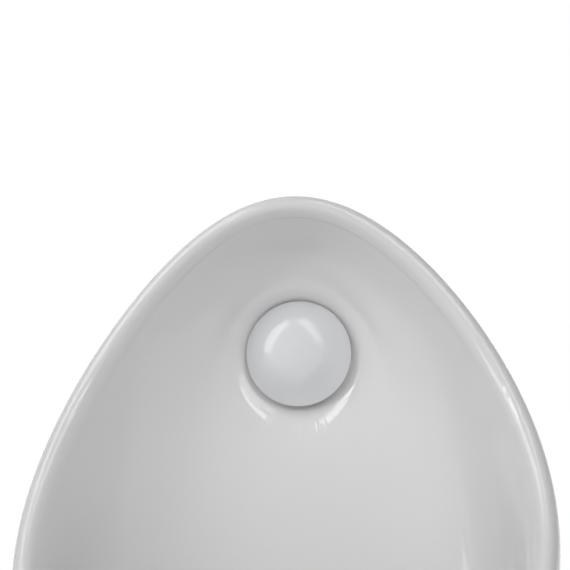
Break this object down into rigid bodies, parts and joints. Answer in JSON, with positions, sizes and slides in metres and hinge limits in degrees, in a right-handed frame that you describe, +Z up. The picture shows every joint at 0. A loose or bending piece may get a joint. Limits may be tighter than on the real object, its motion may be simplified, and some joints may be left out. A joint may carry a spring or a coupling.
{
  "type": "wall hung urinal",
  "caption": "Wall hung urinal with a rolled egg-shaped rim, a flush inlet behind a domed spreader cap, a drain strainer, a bottle trap and concealed hangers.",
  "frame": {"origin": "where the axis of the waste outlet crosses the wall plane", "axes": "+Z up; +Y into the wall, so the room is towards -Y; +X to the right for somebody who faces the urinal"},
  "size_m": [0.331, 0.3749, 0.6201],
  "materials": {
    "china": "glossy glaze",
    "white_plastic": "smooth, glossy",
    "insert_plastic": "moulded, satin",
    "trap_plastic": "moulded, satin",
    "pipe_plastic": "extruded, satin",
    "nut_plastic": "moulded, satin",
    "plug_plastic": "moulded, matte",
    "black_rubber": "matte",
    "chrome_plate": "polished",
    "brass_tail": "turned",
    "zinc_steel": "zinc plated",
    "screw_steel": "zinc plated"
  },
  "bodies": {
    "urinal": {"china_body": "china", "spreader_insert": "insert_plastic", "inlet_spigot": "brass_tail", "inlet_front_seal": "black_rubber", "inlet_rear_seal": "black_rubber", "inlet_locknut": "nut_plastic", "inlet_sleeve": "black_rubber", "waste_flange": "chrome_plate", "waste_flange_seal": "black_rubber", "waste_lower_seal": "black_rubber", "trap_body": "trap_plastic", "outlet_nut": "nut_plastic", "outlet_seal": "black_rubber", "outlet_pipe": "pipe_plastic", "hanger_bracket_left": "zinc_steel", "hanger_bracket_right": "zinc_steel", "hanger_liners": "nut_plastic", "hanger_screws": "screw_steel", "hanger_washers": "screw_steel", "hanger_wall_plugs": "plug_plastic", "side_angle_left": "zinc_steel", "side_angle_right": "zinc_steel", "side_angle_screws": "screw_steel", "side_angle_plugs": "plug_plastic", "side_screws": "screw_steel", "side_bushes": "trap_plastic"},
    "dome": {"spreader_dome": "white_plastic", "dome_stem": "zinc_steel", "dome_o_ring": "black_rubber"},
    "dip_tube": {"trap_insert": "insert_plastic", "trap_insert_o_ring": "black_rubber"},
    "strainer_cover": {"strainer": "chrome_plate"},
    "left_cap": {"side_cap_left": "white_plastic"},
    "right_cap": {"side_cap_right": "white_plastic"}
  },
  "joints": [
    {"name": "dome_pull", "type": "slide", "parent": "urinal", "child": "dome", "axis": [0, -1, 0], "range_m": [0, 0.045]},
    {"name": "dip_tube_lift", "type": "slide", "parent": "urinal", "child": "dip_tube", "axis": [0, 0, 1], "range_m": [0, 0.13]},
    {"name": "strainer_lift", "type": "slide", "parent": "dip_tube", "child": "strainer_cover", "axis": [0, 0, 1], "range_m": [0, 0.03]},
    {"name": "left_cap_pull", "type": "slide", "parent": "urinal", "child": "left_cap", "axis": [-1, 0, 0], "range_m": [0, 0.02]},
    {"name": "right_cap_pull", "type": "slide", "parent": "urinal", "child": "right_cap", "axis": [1, 0, 0], "range_m": [0, 0.02]}
  ]
}
